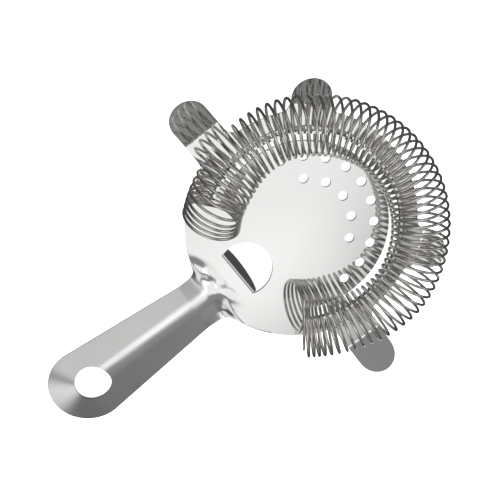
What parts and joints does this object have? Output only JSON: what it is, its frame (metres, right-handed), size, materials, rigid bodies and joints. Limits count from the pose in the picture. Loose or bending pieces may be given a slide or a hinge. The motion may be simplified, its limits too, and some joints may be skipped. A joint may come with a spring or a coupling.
{
  "type": "hawthorne strainer",
  "caption": "Cocktail strainer with a perforated plate, side and front prongs, an arched handle with a hanging hole, and a rolling coil spring that seals against a mixing tin.",
  "frame": {"origin": "centre of the round plate, on its spring side", "axes": "+X away from the handle, +Y to the left seen from the handle with the spring up, +Z from the plate towards the spring and into the mixing tin"},
  "size_m": [0.1473, 0.1146, 0.031],
  "materials": {
    "plate_steel": "polished stainless sheet",
    "handle_steel": "satin stainless, brushed along the handle",
    "spring_wire": "bright drawn stainless wire"
  },
  "bodies": {
    "strainer": {"strainer_disc": "plate_steel", "rim_band": "plate_steel", "spring_flange": "plate_steel", "thumb_tab": "plate_steel", "neck": "handle_steel", "handle": "handle_steel", "side_prong_left": "plate_steel", "side_prong_right": "plate_steel", "front_prong_left": "plate_steel", "front_prong_right": "plate_steel", "coil_end_left": "spring_wire", "coil_end_right": "spring_wire"},
    "coil_01": {"coil_span_01": "spring_wire"},
    "coil_02": {"coil_span_02": "spring_wire"},
    "coil_03": {"coil_span_03": "spring_wire"},
    "coil_04": {"coil_span_04": "spring_wire"},
    "coil_05": {"coil_span_05": "spring_wire"},
    "coil_06": {"coil_span_06": "spring_wire"},
    "coil_07": {"coil_span_07": "spring_wire"},
    "coil_08": {"coil_span_08": "spring_wire"},
    "coil_09": {"coil_span_09": "spring_wire"},
    "coil_10": {"coil_span_10": "spring_wire"}
  },
  "joints": [
    {"name": "spring_roll_01", "type": "hinge", "parent": "strainer", "child": "coil_01", "pos_m": [0, -0.0316, 0.00096], "axis": [-1, 0, 0], "range_deg": [0, 5], "stiffness_Nm_per_rad": 0.1},
    {"name": "spring_roll_02", "type": "hinge", "parent": "strainer", "child": "coil_02", "pos_m": [0.01081, -0.02969, 0.00172], "axis": [-0.9397, -0.342, 0], "range_deg": [0, 8.5], "stiffness_Nm_per_rad": 0.1},
    {"name": "spring_roll_03", "type": "hinge", "parent": "strainer", "child": "coil_03", "pos_m": [0.02031, -0.02421, 0.00172], "axis": [-0.766, -0.6428, 0], "range_deg": [0, 10], "stiffness_Nm_per_rad": 0.1},
    {"name": "spring_roll_04", "type": "hinge", "parent": "strainer", "child": "coil_04", "pos_m": [0.02737, -0.0158, 0.00165], "axis": [-0.5, -0.866, 0], "range_deg": [0, 10], "stiffness_Nm_per_rad": 0.1},
    {"name": "spring_roll_05", "type": "hinge", "parent": "strainer", "child": "coil_05", "pos_m": [0.03112, -0.00549, 0.00156], "axis": [-0.1736, -0.9848, 0], "range_deg": [0, 10], "stiffness_Nm_per_rad": 0.1},
    {"name": "spring_press", "type": "hinge", "parent": "strainer", "child": "coil_06", "pos_m": [0.03112, 0.00549, 0.00147], "axis": [0.1736, -0.9848, 0], "range_deg": [0, 10], "stiffness_Nm_per_rad": 0.1},
    {"name": "spring_roll_07", "type": "hinge", "parent": "strainer", "child": "coil_07", "pos_m": [0.02737, 0.0158, 0.00139], "axis": [0.5, -0.866, 0], "range_deg": [0, 10], "stiffness_Nm_per_rad": 0.1},
    {"name": "spring_roll_08", "type": "hinge", "parent": "strainer", "child": "coil_08", "pos_m": [0.02031, 0.02421, 0.00133], "axis": [0.766, -0.6428, 0], "range_deg": [0, 10], "stiffness_Nm_per_rad": 0.1},
    {"name": "spring_roll_09", "type": "hinge", "parent": "strainer", "child": "coil_09", "pos_m": [0.01081, 0.02969, 0.00125], "axis": [0.9397, -0.342, 0], "range_deg": [0, 8.5], "stiffness_Nm_per_rad": 0.1},
    {"name": "spring_roll_10", "type": "hinge", "parent": "strainer", "child": "coil_10", "pos_m": [0, 0.0316, 0.00077], "axis": [1, 0, 0], "range_deg": [0, 5], "stiffness_Nm_per_rad": 0.1}
  ],
  "couplings": [
    {"joint": "spring_roll_01", "follows": "spring_press", "ratio": 0.5},
    {"joint": "spring_roll_02", "follows": "spring_press", "ratio": 0.85},
    {"joint": "spring_roll_03", "follows": "spring_press", "ratio": 1},
    {"joint": "spring_roll_04", "follows": "spring_press", "ratio": 1},
    {"joint": "spring_roll_05", "follows": "spring_press", "ratio": 1},
    {"joint": "spring_roll_07", "follows": "spring_press", "ratio": 1},
    {"joint": "spring_roll_08", "follows": "spring_press", "ratio": 1},
    {"joint": "spring_roll_09", "follows": "spring_press", "ratio": 0.85},
    {"joint": "spring_roll_10", "follows": "spring_press", "ratio": 0.5}
  ]
}
